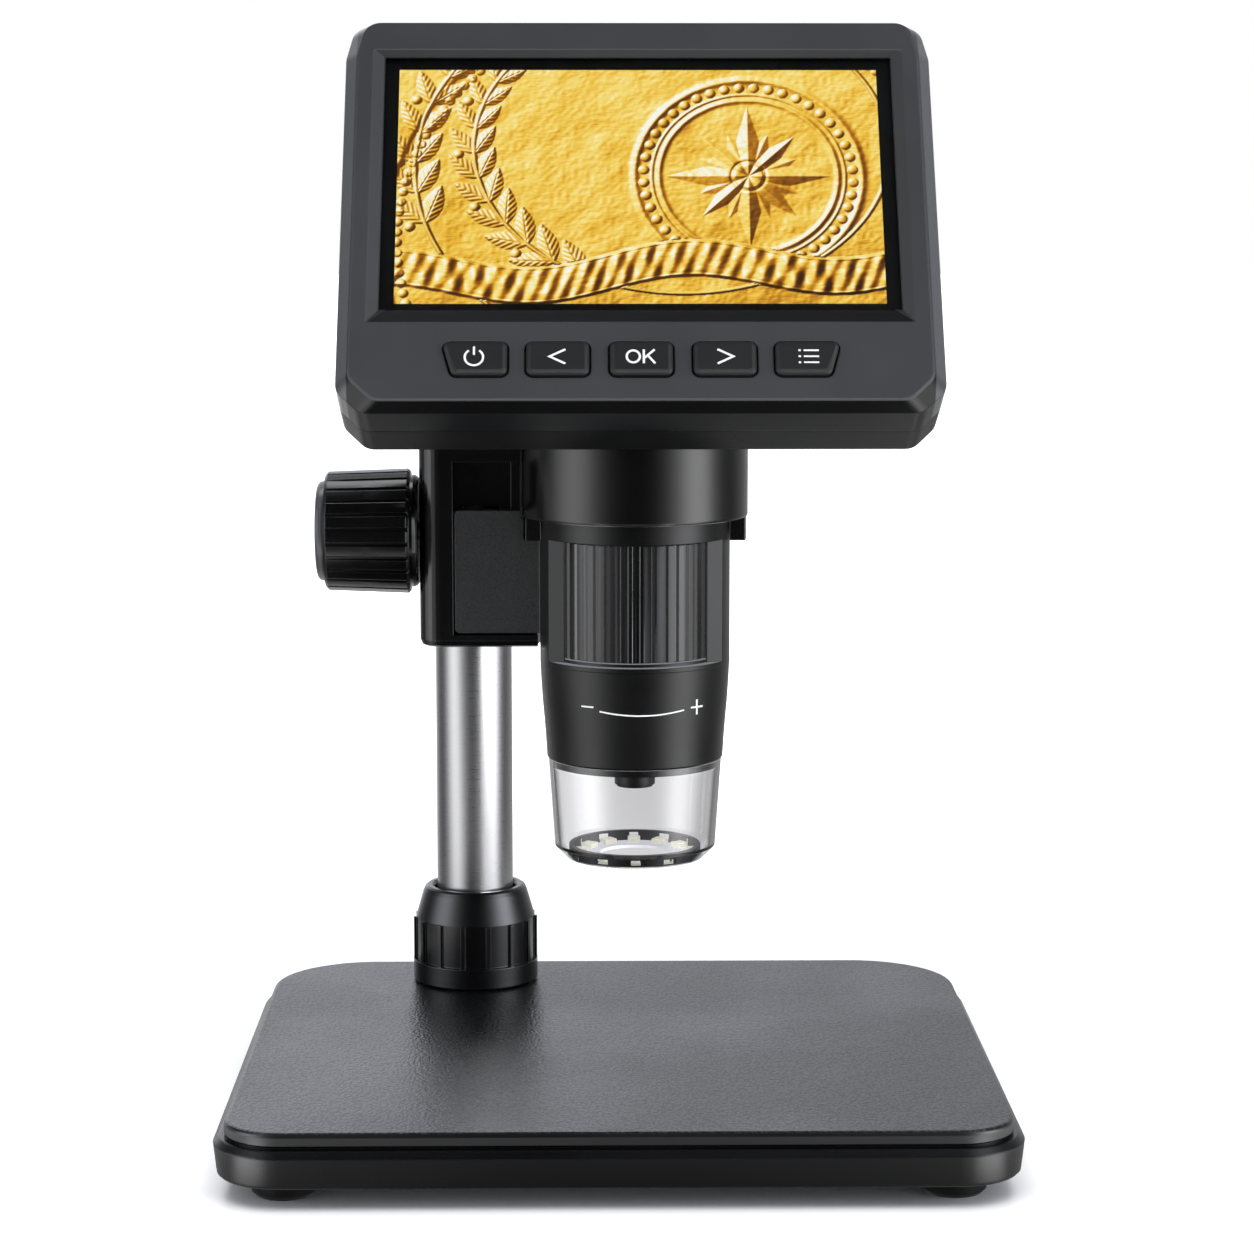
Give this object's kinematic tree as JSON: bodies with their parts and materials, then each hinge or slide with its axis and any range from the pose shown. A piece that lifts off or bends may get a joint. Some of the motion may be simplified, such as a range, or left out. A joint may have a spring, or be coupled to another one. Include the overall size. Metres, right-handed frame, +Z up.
{
  "type": "lcd digital microscope",
  "caption": "Digital microscope: a leaning colour screen with keys on a lens barrel with a focus wheel and a lit clear cover, held on a pole stand with rack focusing.",
  "frame": {"origin": "middle of the base, on the surface that the feet stand on", "axes": "+Z up along the pole and the barrel, +X to the user's right, the screen and the keys face -Y"},
  "size_m": [0.1472, 0.1324, 0.2134],
  "materials": {
    "moulded_black": "satin",
    "moulded_grey": "fine matt grain",
    "stage_coat": "textured",
    "key_grey": "satin",
    "grip_grey": "ribbed",
    "pole_steel": "brushed",
    "screw_steel": "plain",
    "ballast_steel": "plain",
    "brass": "machined",
    "foot_rubber": "matt",
    "clear_plastic": "polished",
    "cover_glass": "polished",
    "lens_glass": "polished",
    "picture": "lit picture",
    "board_green": "solder mask",
    "component_black": "moulded",
    "battery_foil": "foil",
    "lamp_yellow": "lamp"
  },
  "bodies": {
    "base": {"base_body": "moulded_black", "stage_plate": "stage_coat", "bottom_cover": "moulded_black", "ballast_plate": "ballast_steel", "rubber_feet": "foot_rubber", "base_screws": "screw_steel", "pole_socket": "moulded_black", "socket_screws": "screw_steel"},
    "collar": {"collar_nut": "moulded_black"},
    "mast": {"pole": "pole_steel", "pole_cap": "moulded_black", "focus_housing": "moulded_black", "clamp_screws": "screw_steel", "shaft_bushing": "brass"},
    "knob": {"pinion": "brass", "knob_shaft": "screw_steel", "focus_knob": "moulded_black", "knob_cap": "moulded_black", "knob_screw": "screw_steel"},
    "carriage": {"carriage": "moulded_grey", "rack": "brass", "holder_ring": "moulded_black", "holder_screws": "screw_steel"},
    "microscope": {"neck": "moulded_black", "neck_screws": "screw_steel", "barrel_shell": "moulded_black", "lower_barrel": "moulded_black", "sensor_board": "board_green", "image_sensor": "component_black", "clear_cover": "clear_plastic", "led_frame": "moulded_black", "leds": "lamp_yellow", "front_bezel": "moulded_grey", "rear_case": "moulded_black", "cover_glass": "cover_glass", "lcd_panel": "picture", "main_board": "board_green", "tact_switches": "screw_steel", "battery": "battery_foil", "usb_port": "screw_steel", "card_slot": "screw_steel", "case_screws": "screw_steel"},
    "focus_ring": {"focus_wheel": "grip_grey"},
    "lens_unit": {"lens_tube": "moulded_black", "objective_lens": "lens_glass", "rear_lens": "lens_glass"},
    "power_key": {"key_power": "key_grey"},
    "left_key": {"key_left": "key_grey"},
    "ok_key": {"key_ok": "key_grey"},
    "right_key": {"key_right": "key_grey"},
    "menu_key": {"key_menu": "key_grey"}
  },
  "joints": [
    {"name": "collar_turn", "type": "hinge", "parent": "base", "child": "collar", "pos_m": [-0.0294, 0.04975, 0.02], "axis": [0, 0, 1], "range_deg": [0, 360]},
    {"name": "mast_swivel", "type": "hinge", "parent": "base", "child": "mast", "pos_m": [-0.0294, 0.04975, 0.05], "axis": [0, 0, 1], "continuous": true},
    {"name": "carriage_lift", "type": "slide", "parent": "mast", "child": "carriage", "axis": [0, 0, 1], "range_m": [0, 0.0094]},
    {"name": "knob_turn", "type": "hinge", "parent": "mast", "child": "knob", "pos_m": [-0.05, 0.03659, 0.1111], "axis": [1, 0, 0], "range_deg": [-136, 2]},
    {"name": "microscope_lift_out", "type": "slide", "parent": "carriage", "child": "microscope", "axis": [0, 0, 1], "range_m": [0, 0.075]},
    {"name": "focus_wheel_turn", "type": "hinge", "parent": "microscope", "child": "focus_ring", "pos_m": [0.00415, 0.03175, 0.098], "axis": [0, 0, 1], "range_deg": [-120, 180]},
    {"name": "lens_travel", "type": "slide", "parent": "microscope", "child": "lens_unit", "axis": [0, 0, 1], "range_m": [-0.0042, 0.0063]},
    {"name": "power_press", "type": "slide", "parent": "microscope", "child": "power_key", "axis": [0, 0.8425, -0.5388], "range_m": [0, 0.0005], "stiffness_N_per_m": 600},
    {"name": "left_press", "type": "slide", "parent": "microscope", "child": "left_key", "axis": [0, 0.8425, -0.5388], "range_m": [0, 0.0005], "stiffness_N_per_m": 600},
    {"name": "ok_press", "type": "slide", "parent": "microscope", "child": "ok_key", "axis": [0, 0.8425, -0.5388], "range_m": [0, 0.0005], "stiffness_N_per_m": 600},
    {"name": "right_press", "type": "slide", "parent": "microscope", "child": "right_key", "axis": [0, 0.8425, -0.5388], "range_m": [0, 0.0005], "stiffness_N_per_m": 600},
    {"name": "menu_press", "type": "slide", "parent": "microscope", "child": "menu_key", "axis": [0, 0.8425, -0.5388], "range_m": [0, 0.0005], "stiffness_N_per_m": 600}
  ],
  "couplings": [
    {"joint": "knob_turn", "follows": "carriage_lift", "rad_per_m": -250},
    {"joint": "lens_travel", "follows": "focus_wheel_turn", "m_per_rad": 0.002}
  ]
}
